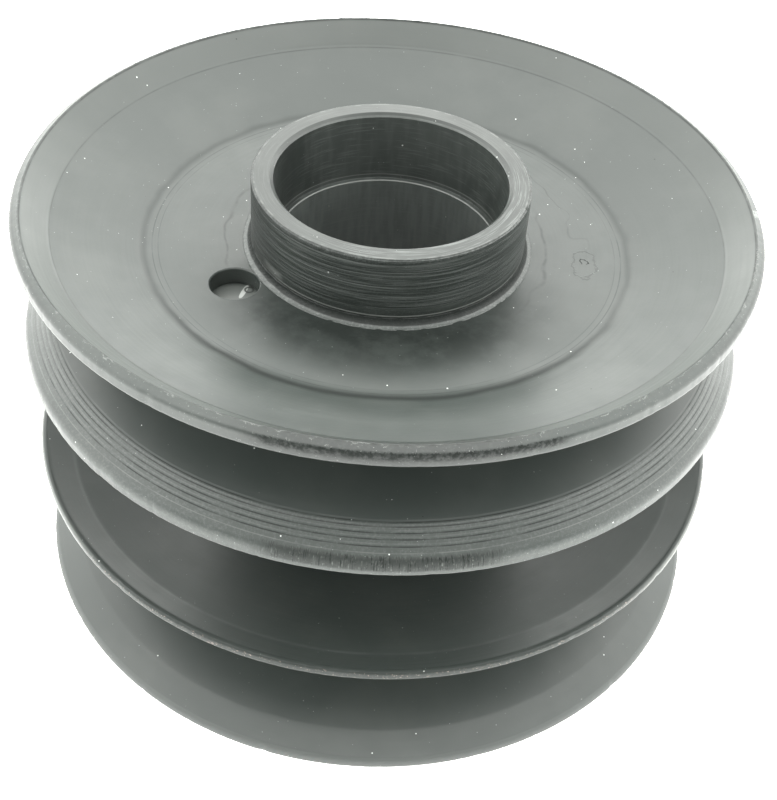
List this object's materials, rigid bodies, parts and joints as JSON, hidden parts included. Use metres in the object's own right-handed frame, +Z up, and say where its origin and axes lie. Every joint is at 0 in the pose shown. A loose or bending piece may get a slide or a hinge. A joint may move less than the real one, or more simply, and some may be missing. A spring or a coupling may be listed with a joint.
{
  "type": "double-groove v-belt pulley",
  "caption": "Bare pressed-steel pulley with two V-belt grooves on one turned hub, with an open bearing seat at each hub end.",
  "frame": {"origin": "on the pulley's axis at the hub's lower end face", "axes": "+Z up along the pulley's axis; the locating hole lies towards -X and -Y"},
  "size_m": [0.127, 0.127, 0.084],
  "materials": {
    "hub_paint": "satin black paint over turned steel",
    "flange_paint": "satin black paint over pressed steel sheet",
    "weld_paint": "thin satin black paint over a rough weld ring"
  },
  "bodies": {
    "root": {"hub": "hub_paint", "upper_sheave_top_flange": "flange_paint", "upper_sheave_bottom_flange": "flange_paint", "lower_sheave_top_flange": "flange_paint", "lower_sheave_bottom_flange": "flange_paint", "upper_sheave_top_weld": "weld_paint", "upper_sheave_bottom_weld": "weld_paint", "lower_sheave_top_weld": "weld_paint", "lower_sheave_bottom_weld": "weld_paint"}
  },
  "joints": []
}
